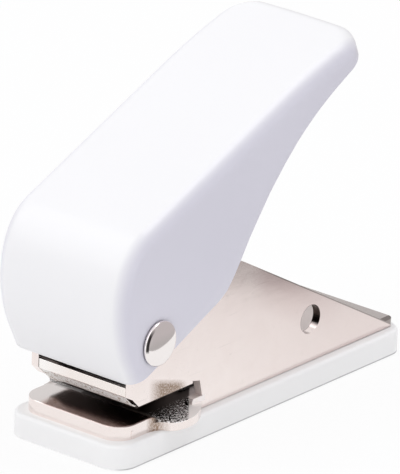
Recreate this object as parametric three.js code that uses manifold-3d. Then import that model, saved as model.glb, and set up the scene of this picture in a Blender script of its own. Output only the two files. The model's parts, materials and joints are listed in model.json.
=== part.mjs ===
// A hand punch for dart flights: a sprung lever over a nickel-plated steel frame on a white base cover.
// Millimetres, +Z up. The nose and the throat face -Y.
// The origin is on the ground under the base's middle.

import * as THREE from 'three';
import { mergeVertices } from 'three/addons/utils/BufferGeometryUtils.js';
import Module from 'manifold-3d';

const wasm = await Module();
wasm.setup();

// Driving dimensions

const base = {
  length: 100,
  width: 33.5,
  height: 5.7,
  corner: 5,
  edge: 0.9,
  wall: 4.6,
  floor: 1.3,
};

const frame = {
  sheet: 2,
  sideLedge: 2.15,
  frontLedge: 2.2,
  rearLedge: 1.8,
  bend: 0.6,
  rearCorner: 2,
  cheekToe: 3.4,
  crownRise: 33.7,
  cheekSlopeDegrees: 29.65,
  crown: 8,
  crownDip: 2.7,
};

const platform = {
  rise: 1.4,
  corner: 5,
  length: 10.4,
  tongueLength: 15.6,
  tongueInset: 8.6,
  edge: 0.3,
  rampEnd: 14.2,
};

const ear = {
  start: 8.4,
  neck: 13.3,
  neckReach: 2.3,
  neckSlope: 0.48,
  reach: 4.5,
  crest: 18.4,
  rear: 28.2,
};

const throat = {
  jawSetback: 3.9,
  height: 5.2,
  leadIn: 2.2,
  depth: 20.6,
  reliefLength: 4,
  reliefLean: 1,
  reliefRise: 0.6,
  reliefDrop: 3.9,
};

const sideHole = {
  diameter: 6.8,
  fromRear: 30.7,
  height: 16.2,
};

const guide = {
  sheet: 1.6,
  gap: 2.1,
  lipHeight: 2.2,
  rearMargin: 0.7,
  sideGap: 0.1,
};

const pivot = {
  setback: 3.4,
  height: 28.8,
  diameter: 5,
  headDiameter: 10.4,
  headHeight: 1.9,
  headRim: 0.45,
  lobe: 6,
  lobeHeel: 7.2,
  lobeHeelDegrees: 216,
  spacerDiameter: 8.6,
  capSocket: 1,
};

const lever = {
  restDegrees: 22.5,
  sideGap: 2.8,
  sheet: 1.2,
  bend: 4,
  noseReach: 10.1,
  topHeight: 25.75,
  noseRun: 17.1,
  noseRise: 23.7,
  noseLeanDegrees: 4,
  noseDrop: 5.2,
  flangeDrop: 4.3,
  flangeLength: 23.6,
  flangeFillet: 2.9,
  tailRise: 18.3,
  tailReach: 81.5,
  rearReach: 84.9,
  rearOverhang: 0.4,
  tailStart: 65,
  tailDip: 4.4,
  rearCorner: 7.5,
  scoopSlopeDegrees: 34.2,
  tailSlopeDegrees: 2.3,
};

const yoke = {
  sheet: 1.6,
  sideGap: 1,
  topGap: 0.2,
  webStart: 8,
  webLength: 15,
  eye: 4.6,
  slotWall: 2.4,
};

const punch = {
  reach: 10.5,
  diameter: 3,
  shankDiameter: 4,
  shoulder: 4.4,
  hide: 0.2,
  pinDrop: 1.8,
  topWall: 1.6,
  strokeDegrees: 22,
  grooveDepth: 0.5,
};

const crossPin = {
  diameter: 2,
  endGap: 0.5,
};

const bush = {
  diameter: 6.4,
  height: 4.7,
  flange: 0.8,
  flangeDiameter: 10.8,
};

const spring = {
  wire: 0.8,
  meanDiameter: 8.6,
  curls: 4.5,
  seatGap: 0.12,
};

const washer = {
  thickness: 0.6,
  diameter: 10.8,
};

const collar = {
  thickness: 0.8,
  diameter: 10.8,
};

const clip = {
  thickness: 0.7,
  diameter: 7.6,
  mouth: 2.6,
  belowPin: 0.9,
};

const hook = {
  width: 5,
  thickness: 1.5,
  nose: 0.7,
  noseHeight: 0.9,
  gap: 0.15,
  apart: 13,
  frontFromRear: 64.4,
  rearFromRear: 17,
};

const runningGap = 0.05;
const seatGap = 0.1;
const overrun = 2;
const pressedFinish = { colour: 0xd8d2cb, roughness: 0.28, metalness: 1 };
const machinedFinish = { colour: 0xb8b6b2, roughness: 0.3, metalness: 1 };
const paintFinish = { colour: 0xf4f4f6, roughness: 0.22, metalness: 0 };
const plasticFinish = { colour: 0xf1f2f2, roughness: 0.5, metalness: 0 };
const springFinish = { colour: 0x8f9092, roughness: 0.35, metalness: 1 };

// Counts of facets

const roundSides = 32;
const smallSides = 24;
const arcSteps = 8;
const bendSteps = 5;
const curlSteps = 8;
const wireSides = 5;

// Levels and places worked out from the driving dimensions

const radians = THREE.MathUtils.degToRad;
const halfLength = base.length / 2;
const halfBase = base.width / 2;
const halfFrame = halfBase - frame.sideLedge;
const innerFrame = halfFrame - frame.sheet;
const frameFront = -halfLength + frame.frontLedge;
const frameRear = halfLength - frame.rearLedge;
const floorTop = base.height + frame.sheet;
const dieTop = floorTop + platform.rise;
const throatTop = floorTop + throat.height;
const jawFront = frameFront + throat.jawSetback;
const guideBottom = dieTop + guide.gap;
const guideTop = guideBottom + guide.sheet;
const pivotY = jawFront + pivot.setback;
const punchY = pivotY + punch.reach;
const halfCavity = halfFrame + lever.sideGap;
const halfLever = halfCavity + lever.sheet;
const pinHeight = pivot.height - punch.pinDrop;
const stroke = punch.reach * radians(punch.strokeDegrees);
const clipTop = pinHeight - crossPin.diameter / 2 - clip.belowPin;
const collarTop = clipTop - clip.thickness - runningGap;
const bushTop = guideTop + bush.height;

// Solids from geometries, and back

function solidOf(geometry) {
  const bare = geometry.clone();
  bare.deleteAttribute('normal');
  bare.deleteAttribute('uv');
  const merged = mergeVertices(bare);
  return new wasm.Manifold(new wasm.Mesh({
    numProp: 3,
    vertProperties: new Float32Array(merged.attributes.position.array),
    triVerts: new Uint32Array(merged.index.array),
  }));
}

function geometryOf(solid) {
  const mesh = solid.getMesh();
  const geometry = new THREE.BufferGeometry();
  geometry.setAttribute('position', new THREE.BufferAttribute(new Float32Array(mesh.vertProperties), 3));
  geometry.setIndex(new THREE.BufferAttribute(new Uint32Array(mesh.triVerts), 1));
  geometry.computeVertexNormals();
  return geometry;
}

function joined(first, ...others) {
  return others.reduce((sum, next) => sum.add(next), first);
}

function cut(first, ...tools) {
  return tools.reduce((rest, tool) => rest.subtract(tool), first);
}

// Shapes of outlines, and solids drawn out of them

function outline(points) {
  return new THREE.Shape(points.map(([a, b]) => new THREE.Vector2(a, b)));
}

function roundedRectangle(left, right, low, high, radii) {
  const [lowLeft, lowRight, highRight, highLeft] = radii;
  const shape = new THREE.Shape();
  shape.moveTo(left + lowLeft, low);
  shape.lineTo(right - lowRight, low);
  if (lowRight > 0) shape.absarc(right - lowRight, low + lowRight, lowRight, -Math.PI / 2, 0);
  shape.lineTo(right, high - highRight);
  if (highRight > 0) shape.absarc(right - highRight, high - highRight, highRight, 0, Math.PI / 2);
  shape.lineTo(left + highLeft, high);
  if (highLeft > 0) shape.absarc(left + highLeft, high - highLeft, highLeft, Math.PI / 2, Math.PI);
  shape.lineTo(left, low + lowLeft);
  if (lowLeft > 0) shape.absarc(left + lowLeft, low + lowLeft, lowLeft, Math.PI, Math.PI * 1.5);
  return shape;
}

function drawn(shape, depth, bevel = 0) {
  return new THREE.ExtrudeGeometry(shape, {
    depth: depth - 2 * bevel,
    curveSegments: arcSteps,
    bevelEnabled: bevel > 0,
    bevelThickness: bevel,
    bevelSize: bevel,
    bevelOffset: -bevel,
    bevelSegments: bendSteps,
  }).translate(0, 0, bevel);
}

// A side outline in (y, z), drawn out along x
function acrossX(shape, low, high, bevel = 0) {
  const turn = new THREE.Matrix4().makeBasis(
    new THREE.Vector3(0, 1, 0),
    new THREE.Vector3(0, 0, 1),
    new THREE.Vector3(1, 0, 0),
  );
  return solidOf(drawn(shape, high - low, bevel).applyMatrix4(turn).translate(low, 0, 0));
}

// A cross-section in (x, z), drawn out along y
function alongY(shape, low, high) {
  const turn = new THREE.Matrix4().makeBasis(
    new THREE.Vector3(1, 0, 0),
    new THREE.Vector3(0, 0, 1),
    new THREE.Vector3(0, -1, 0),
  );
  return solidOf(drawn(shape, high - low).applyMatrix4(turn).translate(0, high, 0));
}

// A plan outline in (x, y), drawn up along z
function upZ(shape, low, high, bevel = 0) {
  return solidOf(drawn(shape, high - low, bevel).translate(0, 0, low));
}

function block(x0, x1, y0, y1, z0, z1) {
  const box = new THREE.BoxGeometry(x1 - x0, y1 - y0, z1 - z0);
  return solidOf(box.translate((x0 + x1) / 2, (y0 + y1) / 2, (z0 + z1) / 2));
}

function rodX(radius, low, high, y, z, sides = roundSides) {
  const rod = new THREE.CylinderGeometry(radius, radius, high - low, sides);
  return solidOf(rod.rotateZ(-Math.PI / 2).translate((low + high) / 2, y, z));
}

function rodZ(radius, low, high, x, y, sides = roundSides) {
  const rod = new THREE.CylinderGeometry(radius, radius, high - low, sides);
  return solidOf(rod.rotateX(Math.PI / 2).translate(x, y, (low + high) / 2));
}

// A slot along a line between two centres in the side view, drawn out along x
function slotX(radius, low, high, start, end) {
  const bar = new THREE.Vector2(end.x - start.x, end.y - start.y);
  const angle = bar.angle();
  const shape = new THREE.Shape();
  shape.absarc(start.x, start.y, radius, angle + Math.PI / 2, angle + Math.PI * 1.5);
  shape.absarc(end.x, end.y, radius, angle - Math.PI / 2, angle + Math.PI / 2);
  return acrossX(shape, low, high);
}

const root = new THREE.Group();

function place(parent, name, solid, finish, position = [0, 0, 0]) {
  const material = new THREE.MeshStandardMaterial({
    color: finish.colour,
    roughness: finish.roughness,
    metalness: finish.metalness,
  });
  const mesh = new THREE.Mesh(solid.isBufferGeometry ? solid : geometryOf(solid), material);
  mesh.name = name;
  mesh.position.set(...position);
  parent.add(mesh);
  return mesh;
}

// The base cover: a shallow tray that catches the chips, with hooks that snap into the frame's floor

function hookPlaces() {
  const rows = [frameRear - hook.frontFromRear, frameRear - hook.rearFromRear];
  return rows.flatMap((y) => [-1, 1].map((side) => ({ side, x: side * hook.apart / 2, y })));
}

function snapHook({ side, x, y }) {
  const half = hook.thickness / 2;
  const noseLow = floorTop + hook.gap;
  const top = noseLow + hook.noseHeight;
  const outer = x + side * half;
  const tip = outer + side * hook.nose;
  const shape = outline([
    [x - side * half, base.floor / 2],
    [outer, base.floor / 2],
    [outer, noseLow],
    [tip, noseLow],
    [outer, top],
    [x - side * half, top],
  ]);
  return alongY(shape, y - hook.width / 2, y + hook.width / 2);
}

function baseCover() {
  const corners = (radius) => [radius, radius, radius, radius];
  const plan = roundedRectangle(-halfBase, halfBase, -halfLength, halfLength, corners(base.corner));
  const tray = roundedRectangle(
    -halfBase + base.wall,
    halfBase - base.wall,
    -halfLength + base.wall,
    halfLength - base.wall,
    corners(base.corner / 2),
  );
  const body = upZ(plan, -overrun, base.height, base.edge)
    .intersect(block(-base.width, base.width, -base.length, base.length, 0, base.height));
  return joined(cut(body, upZ(tray, base.floor, base.height + overrun)), ...hookPlaces().map(snapHook));
}

// The frame: one folded sheet with a raised die platform, two ears and two cheeks

function earOutline(side) {
  const shape = new THREE.Shape();
  const edge = halfFrame - frame.bend;
  const start = frameFront + ear.start;
  const neck = halfFrame + ear.neckReach;
  const neckY = frameFront + ear.neck;
  const hollowY = neckY - ear.neckReach * ear.neckSlope;
  const crest = halfFrame + ear.reach;
  const crestY = frameFront + ear.crest;
  const shoulderY = neckY + (crest - neck) * ear.neckSlope;
  const rear = frameFront + ear.rear;
  shape.moveTo(side * edge, start);
  shape.lineTo(side * halfFrame, start);
  shape.quadraticCurveTo(side * halfFrame, hollowY, side * neck, neckY);
  shape.quadraticCurveTo(side * crest, shoulderY, side * crest, crestY);
  shape.quadraticCurveTo(side * crest, (crestY + rear) / 2, side * edge, rear);
  return shape;
}

// The ears and the slope that leads down to them from the platform
function earsAndSlope() {
  const start = frameFront + ear.start;
  const end = frameFront + platform.rampEnd;
  const half = halfFrame - platform.edge;
  const above = outline([
    [frameFront + platform.length, dieTop],
    [frameFront + platform.length, pivot.height],
    [frameRear, pivot.height],
    [frameRear, floorTop],
    [end, floorTop],
  ]);
  const ears = [-1, 1].map((side) => upZ(earOutline(side), base.height, dieTop));
  const middle = block(-half, half, start, end, base.height, dieTop);
  return cut(joined(middle, ...ears), acrossX(above, -base.width, base.width));
}

// The platform's outlines: its full width in front of the cheeks, and its tongue between them
function platformOutlines(inset) {
  const round = platform.corner - inset;
  const wide = roundedRectangle(
    -halfFrame + inset,
    halfFrame - inset,
    frameFront + inset,
    frameFront + platform.length - inset,
    [round, round, 0, 0],
  );
  const narrow = halfFrame - platform.tongueInset - inset;
  const tongueEnd = frameFront + platform.length + platform.tongueLength - inset;
  const tongueStart = frameFront + platform.corner;
  const tongue = roundedRectangle(-narrow, narrow, tongueStart, tongueEnd, [0, 0, 0, 0]);
  return [wide, tongue];
}

function raisedPlatform() {
  const above = block(-base.width, base.width, -base.length, base.length, base.height, pivot.height);
  const solids = platformOutlines(0).map((shape) => upZ(shape, 0, dieTop, platform.edge));
  return joined(...solids).intersect(above);
}

function platformPocket() {
  return joined(...platformOutlines(frame.sheet).map((shape) => upZ(shape, 0, dieTop - frame.sheet)));
}

function channelSection() {
  const tall = pivot.height + frame.crownRise;
  const inner = frame.bend / 2;
  const shape = new THREE.Shape();
  shape.moveTo(-halfFrame + frame.bend, base.height);
  shape.lineTo(halfFrame - frame.bend, base.height);
  shape.absarc(halfFrame - frame.bend, base.height + frame.bend, frame.bend, -Math.PI / 2, 0);
  shape.lineTo(halfFrame, tall);
  shape.lineTo(innerFrame, tall);
  shape.lineTo(innerFrame, floorTop + inner);
  shape.lineTo(innerFrame - inner, floorTop);
  shape.lineTo(-innerFrame + inner, floorTop);
  shape.lineTo(-innerFrame, floorTop + inner);
  shape.lineTo(-innerFrame, tall);
  shape.lineTo(-halfFrame, tall);
  shape.lineTo(-halfFrame, base.height + frame.bend);
  shape.absarc(-halfFrame + frame.bend, base.height + frame.bend, frame.bend, Math.PI, Math.PI * 1.5);
  return shape;
}

function cheekProfile() {
  const toe = frameRear - frame.cheekToe;
  const slope = Math.tan(radians(frame.cheekSlopeDegrees));
  const crownY = toe - frame.crownRise / slope;
  const crownTop = floorTop + frame.crownRise;
  const shape = new THREE.Shape();
  shape.moveTo(frameRear, base.height);
  shape.lineTo(frameRear, floorTop);
  shape.lineTo(toe, floorTop);
  shape.lineTo(crownY + frame.crown, crownTop - frame.crown * slope);
  shape.quadraticCurveTo(crownY, crownTop, crownY - frame.crown, crownTop - frame.crownDip);
  shape.lineTo(pivotY, pivot.height + pivot.lobe);
  shape.absarc(pivotY, pivot.height, pivot.lobe, Math.PI / 2, radians(pivot.lobeHeelDegrees));
  shape.lineTo(jawFront, pivot.height - pivot.lobeHeel);
  shape.lineTo(jawFront, base.height);
  return shape;
}

function throatCut(side) {
  const front = jawFront - overrun;
  const back = jawFront + throat.depth;
  const relief = back + throat.reliefLength - frame.bend;
  const shape = outline([
    [front, floorTop],
    [back, floorTop],
    [back, throatTop - throat.reliefDrop - platform.rise / 2],
    [back + frame.bend / 2, throatTop - throat.reliefDrop],
    [relief, throatTop - throat.reliefDrop],
    [relief - throat.reliefLean, throatTop],
    [back, throatTop + throat.reliefRise],
    [back, throatTop],
    [jawFront + throat.leadIn, throatTop],
    [jawFront, throatTop + throat.leadIn],
    [front, throatTop + throat.leadIn],
  ]);
  const low = innerFrame - frame.bend;
  const high = halfFrame + overrun;
  return side > 0 ? acrossX(shape, low, high) : acrossX(shape, -high, -low);
}

function frameSheet() {
  const reach = halfFrame + overrun;
  const plan = roundedRectangle(
    -halfFrame,
    halfFrame,
    frameFront,
    frameRear,
    [0, 0, frame.rearCorner, frame.rearCorner],
  );
  const channel = alongY(channelSection(), jawFront, frameRear)
    .intersect(acrossX(cheekProfile(), -reach, reach))
    .intersect(upZ(plan, 0, pivot.height + frame.crownRise));
  const body = joined(cut(channel, throatCut(-1), throatCut(1)), earsAndSlope(), raisedPlatform());
  const slots = hookPlaces().map(({ side, x, y }) => {
    const outer = x + side * (hook.thickness / 2 + hook.gap);
    const inner = x - side * (hook.thickness / 2 + hook.nose + hook.gap);
    const half = hook.width / 2 + hook.gap;
    const ends = [Math.min(outer, inner), Math.max(outer, inner)];
    return block(...ends, y - half, y + half, 0, floorTop + overrun);
  });
  return cut(
    body,
    platformPocket(),
    rodX(pivot.diameter / 2 + runningGap, -reach, reach, pivotY, pivot.height),
    rodX(sideHole.diameter / 2, -reach, reach, frameRear - sideHole.fromRear, sideHole.height),
    rodZ(punch.diameter / 2 + runningGap, 0, guideTop, 0, punchY, smallSides),
    ...slots,
  );
}

// The upper guide plate: a flat strip with a bent-up lip that leads the flight in

function guidePlate() {
  const rise = throatTop + throat.leadIn - guideBottom;
  const lipTop = throatTop + throat.leadIn + guide.lipHeight;
  const miter = guide.sheet * Math.tan(Math.PI / 8);
  const back = punchY + bush.flangeDiameter / 2 + guide.rearMargin;
  const shape = outline([
    [back, guideBottom],
    [back, guideTop],
    [jawFront + rise + miter, guideTop],
    [jawFront + guide.sheet, guideBottom + rise + miter],
    [jawFront + guide.sheet, lipTop],
    [jawFront, lipTop],
    [jawFront, guideBottom + rise],
    [jawFront + rise, guideBottom],
  ]);
  const half = innerFrame - guide.sideGap;
  const bore = rodZ(bush.diameter / 2 + runningGap, 0, pivot.height, 0, punchY);
  return cut(acrossX(shape, -half, half), bore);
}

// The punch and what slides with it

function guideBush() {
  const body = rodZ(bush.diameter / 2, guideBottom, bushTop, 0, punchY);
  const flange = rodZ(bush.flangeDiameter / 2, guideTop, guideTop + bush.flange, 0, punchY);
  const bore = rodZ(punch.shankDiameter / 2 + runningGap, 0, pivot.height, 0, punchY);
  return cut(joined(body, flange), bore);
}

function punchPin() {
  const low = guideBottom + punch.hide;
  const high = pinHeight + crossPin.diameter / 2 + punch.topWall;
  const tip = rodZ(punch.diameter / 2, low, guideTop + punch.shoulder, 0, punchY, smallSides);
  const shank = rodZ(punch.shankDiameter / 2, guideBottom + punch.shoulder, high, 0, punchY);
  const groove = cut(
    rodZ(punch.shankDiameter, clipTop - clip.thickness - runningGap, clipTop + runningGap, 0, punchY),
    rodZ(punch.shankDiameter / 2 - punch.grooveDepth, 0, pivot.height, 0, punchY, smallSides),
  );
  const eyeRadius = crossPin.diameter / 2 + runningGap;
  const eye = rodX(eyeRadius, -halfFrame, halfFrame, punchY, pinHeight, smallSides);
  return cut(joined(tip, shank), groove, eye);
}

function ring(outer, inner, low, thickness) {
  return cut(
    rodZ(outer / 2, low, low + thickness, 0, punchY),
    rodZ(inner / 2, low - overrun, low + thickness + overrun, 0, punchY, smallSides),
  );
}

function retainingClip() {
  const inner = punch.shankDiameter - 2 * punch.grooveDepth + 2 * runningGap;
  const low = clipTop - clip.thickness;
  const half = clip.mouth / 2;
  const mouth = block(-half, half, punchY, punchY + clip.diameter, low - overrun, clipTop + overrun);
  return cut(ring(clip.diameter, inner, low, clip.thickness), mouth);
}

function crossPinRod() {
  const end = innerFrame - crossPin.endGap;
  return rodX(crossPin.diameter / 2, -end, end, punchY, pinHeight, smallSides);
}

// The return spring: one unbroken wire whose ends run straight for one wire diameter

function springPath() {
  const low = guideTop + bush.flange + washer.thickness + spring.seatGap + spring.wire / 2;
  const high = collarTop - collar.thickness - spring.seatGap - spring.wire / 2;
  const radius = spring.meanDiameter / 2;
  const steps = Math.round(spring.curls * curlSteps);
  const points = [];
  for (let step = 0; step <= steps; step += 1) {
    const angle = step / curlSteps * Math.PI * 2;
    const z = low + (high - low) * step / steps;
    const x = radius * Math.cos(angle);
    points.push(new THREE.Vector3(x, punchY + radius * Math.sin(angle), z));
  }
  const first = new THREE.Vector3(radius, punchY - spring.wire, low);
  const lastAngle = steps / curlSteps * Math.PI * 2;
  const along = new THREE.Vector3(-Math.sin(lastAngle), Math.cos(lastAngle), 0);
  const last = points[points.length - 1].clone().addScaledVector(along, spring.wire);
  return [first, ...points, last];
}

function wireTube(path) {
  const positions = [];
  const faces = [];
  path.forEach((point, index) => {
    const before = path[Math.max(index - 1, 0)];
    const after = path[Math.min(index + 1, path.length - 1)];
    const along = after.clone().sub(before).normalize();
    const out = new THREE.Vector3(0, 0, 1).cross(along).normalize();
    const up = along.clone().cross(out).normalize();
    for (let side = 0; side < wireSides; side += 1) {
      const angle = side / wireSides * Math.PI * 2;
      const rim = point.clone()
        .addScaledVector(out, spring.wire / 2 * Math.cos(angle))
        .addScaledVector(up, spring.wire / 2 * Math.sin(angle));
      positions.push(rim.x, rim.y, rim.z);
    }
  });
  for (let index = 0; index < path.length - 1; index += 1) {
    for (let side = 0; side < wireSides; side += 1) {
      const next = (side + 1) % wireSides;
      const a = index * wireSides + side;
      const b = index * wireSides + next;
      faces.push(a, b, b + wireSides, a, b + wireSides, a + wireSides);
    }
  }
  const end = (path.length - 1) * wireSides;
  for (let side = 1; side < wireSides - 1; side += 1) {
    faces.push(0, side + 1, side);
    faces.push(end, end + side, end + side + 1);
  }
  const geometry = new THREE.BufferGeometry();
  geometry.setAttribute('position', new THREE.BufferAttribute(new Float32Array(positions), 3));
  geometry.setIndex(faces);
  geometry.computeVertexNormals();
  return geometry;
}

// The least gap between curls, measured on the wire's own points that lie more than half a curl apart
function springGap(path) {
  let least = Infinity;
  for (let one = 0; one < path.length; one += 1) {
    for (let two = one + curlSteps / 2 + 1; two < path.length; two += 1) {
      least = Math.min(least, path[one].distanceTo(path[two]) - spring.wire);
    }
  }
  return least;
}

// The lever, drawn in its own frame: its pivot is the origin and its top is level

function noseSide(inset) {
  const front = inset - lever.noseReach;
  const noseY = lever.noseRun - lever.noseReach;
  const noseZ = lever.topHeight - lever.noseRise;
  const lean = Math.tan(radians(lever.noseLeanDegrees)) * (noseZ + lever.topHeight);
  const shape = new THREE.Shape();
  shape.moveTo(front + lean, -lever.topHeight);
  shape.lineTo(front, noseZ);
  const run = lever.noseRun - inset;
  const rise = lever.noseRise - inset;
  shape.absellipse(noseY, noseZ, run, rise, Math.PI, Math.PI / 2, true);
  shape.lineTo(lever.rearReach, lever.topHeight - inset);
  shape.lineTo(lever.rearReach, -lever.topHeight);
  return shape;
}

// The tail's plan: cut square at the rear from a slightly longer one whose top edges are rounded
function tailPlan(inset, overhang) {
  const half = halfLever - inset;
  const corner = lever.rearCorner - inset + overhang;
  const rear = lever.rearReach - inset + overhang;
  return roundedRectangle(-half, half, -lever.noseReach, rear, [0, 0, corner, corner]);
}

// The top's gentle droop towards the rear end
function droopProfile(inset) {
  const top = lever.topHeight - inset;
  const rear = lever.rearReach - inset;
  const shape = new THREE.Shape();
  shape.moveTo(-lever.rearReach, -lever.rearReach);
  shape.lineTo(-lever.rearReach, top);
  shape.lineTo(lever.tailStart, top);
  shape.quadraticCurveTo(rear, top, rear, top - lever.tailDip);
  shape.lineTo(rear, -lever.rearReach);
  return shape;
}

// The nose is drawn across the lever and the tail upwards, so that both keep the same edge rounding
function shellBody(inset) {
  const half = halfLever - inset;
  const bend = lever.bend - inset;
  const meet = lever.noseRun - lever.noseReach + lever.bend;
  const span = 2 * halfLength;
  const nose = acrossX(noseSide(inset), -half, half, bend)
    .intersect(block(-halfLever, halfLever, meet - span, meet, -lever.topHeight / 2, lever.topHeight));
  const slab = tailPlan(inset, lever.rearOverhang);
  const tail = upZ(slab, -lever.topHeight, lever.topHeight - inset, bend)
    .intersect(upZ(tailPlan(inset, 0), -lever.topHeight, lever.topHeight))
    .intersect(block(-halfLever, halfLever, meet, meet + span, -lever.topHeight / 2, lever.topHeight));
  const droop = acrossX(droopProfile(inset), -halfLever - overrun, halfLever + overrun);
  return nose.add(tail).intersect(droop);
}

function flangeProfile() {
  const line = { x: lever.flangeLength, y: -lever.flangeDrop };
  const scoop = Math.tan(radians(lever.scoopSlopeDegrees));
  const tail = Math.tan(radians(lever.tailSlopeDegrees));
  const start = { x: line.x + lever.flangeFillet, y: line.y + lever.flangeFillet * scoop };
  const run = lever.tailReach - start.x;
  const meet = (lever.tailRise - start.y - run * tail) / (scoop - tail);
  const shape = new THREE.Shape();
  shape.moveTo(-lever.noseReach - overrun, -lever.noseDrop);
  shape.lineTo(line.x - lever.flangeFillet, line.y);
  shape.quadraticCurveTo(line.x, line.y, start.x, start.y);
  shape.quadraticCurveTo(start.x + meet, start.y + meet * scoop, lever.tailReach, lever.tailRise);
  shape.lineTo(lever.rearReach + overrun, lever.tailRise);
  shape.lineTo(lever.rearReach + overrun, lever.topHeight + overrun);
  shape.lineTo(-lever.noseReach - overrun, lever.topHeight + overrun);
  return shape;
}

function leverShell() {
  const reach = halfLever + overrun;
  const shell = shellBody(0).subtract(shellBody(lever.sheet))
    .intersect(acrossX(flangeProfile(), -reach, reach));
  return cut(shell, rodX(pivot.diameter / 2 + runningGap, -reach, reach, 0, 0));
}

// The press yoke inside the lever: two arms on the pivot whose slots drive the cross pin

function pinInLever(degrees) {
  const angle = radians(degrees);
  const place = new THREE.Vector2(punch.reach, -punch.pinDrop - punch.reach * angle);
  return place.rotateAround(new THREE.Vector2(0, 0), angle - radians(lever.restDegrees));
}

function pressYoke() {
  const outer = innerFrame - yoke.sideGap;
  const inner = outer - yoke.sheet;
  const start = pinInLever(0);
  const end = pinInLever(punch.strokeDegrees);
  const slotRadius = crossPin.diameter / 2 + 2 * seatGap;
  const top = lever.topHeight - lever.sheet - yoke.topGap;
  const webEnd = yoke.webStart + yoke.webLength;
  const low = Math.min(start.y, end.y) - slotRadius - yoke.slotWall;
  const shape = new THREE.Shape();
  shape.moveTo(yoke.webStart, top);
  shape.lineTo(yoke.webStart - yoke.eye, top / 2);
  shape.lineTo(-yoke.eye, 0);
  shape.absarc(0, 0, yoke.eye, Math.PI, Math.PI * 1.5);
  shape.lineTo(start.x - slotRadius - yoke.slotWall / 2, low);
  shape.lineTo(end.x + slotRadius, low);
  shape.lineTo(end.x + slotRadius + yoke.slotWall, low + yoke.slotWall);
  shape.lineTo(webEnd, top / 2);
  shape.lineTo(webEnd, top);
  const arms = [acrossX(shape, -outer, -inner), acrossX(shape, inner, outer)];
  const web = block(-outer, outer, yoke.webStart, webEnd, top - yoke.sheet, top);
  return cut(
    joined(...arms, web),
    rodX(pivot.diameter / 2 + runningGap, -halfFrame, halfFrame, 0, 0),
    slotX(slotRadius, -halfFrame, halfFrame, start, end),
  );
}

// The pivot: a domed-head pin, its cap at the far end, and the spacers that centre the lever on the frame

function dome(side) {
  const radius = pivot.headDiameter / 2;
  const profile = [
    new THREE.Vector2(0, 0),
    new THREE.Vector2(radius, 0),
    new THREE.Vector2(radius, pivot.headRim),
  ];
  for (let step = 1; step < arcSteps; step += 1) {
    const angle = step / arcSteps * Math.PI / 2;
    const height = pivot.headRim + (pivot.headHeight - pivot.headRim) * Math.sin(angle);
    profile.push(new THREE.Vector2(radius * Math.cos(angle), height));
  }
  profile.push(new THREE.Vector2(0, pivot.headHeight), new THREE.Vector2(0, 0));
  const head = new THREE.LatheGeometry(profile, roundSides);
  const near = halfLever + seatGap;
  return solidOf(head.rotateZ(-side * Math.PI / 2).translate(side * near, 0, 0));
}

function pivotPin() {
  const end = halfLever + seatGap + pivot.capSocket;
  return joined(rodX(pivot.diameter / 2, -end, halfLever + 2 * seatGap, 0, 0), dome(1));
}

function pivotCap() {
  const end = halfLever + 2 * seatGap + pivot.capSocket;
  return cut(dome(-1), rodX(pivot.diameter / 2 + runningGap, -end, 0, 0, 0));
}

function spacer(side) {
  const low = halfFrame + seatGap;
  const high = halfCavity - seatGap;
  const ends = side > 0 ? [low, high] : [-high, -low];
  return cut(
    rodX(pivot.spacerDiameter / 2, ...ends, 0, 0),
    rodX(pivot.diameter / 2 + runningGap, -halfLever, halfLever, 0, 0),
  );
}

// The assembly

place(root, 'base_cover', baseCover(), plasticFinish);
place(root, 'frame', frameSheet(), pressedFinish);
place(root, 'guide_plate', guidePlate(), pressedFinish);
place(root, 'guide_bush', guideBush(), machinedFinish);

const springWire = springPath();
const collarBore = punch.shankDiameter + 2 * runningGap;
const washerBore = bush.diameter + 4 * runningGap;
const washerLow = guideTop + bush.flange + runningGap;
const collarLow = collarTop - collar.thickness;
const lowerSeat = ring(washer.diameter, washerBore, washerLow, washer.thickness);
const upperSeat = ring(collar.diameter, collarBore, collarLow, collar.thickness);
place(root, 'spring_washer', lowerSeat, machinedFinish);
place(root, 'return_spring', wireTube(springWire), springFinish);
place(root, 'spring_collar', upperSeat, machinedFinish);
place(root, 'retaining_clip', retainingClip(), springFinish);
place(root, 'punch_pin', punchPin(), machinedFinish);
place(root, 'cross_pin', crossPinRod(), machinedFinish);

const leverGroup = new THREE.Group();
leverGroup.position.set(0, pivotY, pivot.height);
leverGroup.rotation.x = radians(lever.restDegrees);
root.add(leverGroup);
place(leverGroup, 'lever', leverShell(), paintFinish);
place(leverGroup, 'press_yoke', pressYoke(), pressedFinish);
place(leverGroup, 'pivot_pin', pivotPin(), pressedFinish);
place(leverGroup, 'pivot_cap', pivotCap(), pressedFinish);
place(leverGroup, 'pivot_spacer_near', spacer(1), machinedFinish);
place(leverGroup, 'pivot_spacer_far', spacer(-1), machinedFinish);

const leastGap = springGap(springWire);
console.log(`Punch stroke ${stroke.toFixed(2)} mm, least gap in the spring ${leastGap.toFixed(2)} mm`);

export default root;
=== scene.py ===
"""Looks of the dart flight punch: white plastic base, nickel-plated frame, white painted lever."""

import json
import math

import bmesh
import bpy
from mathutils import Matrix, Vector


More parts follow.
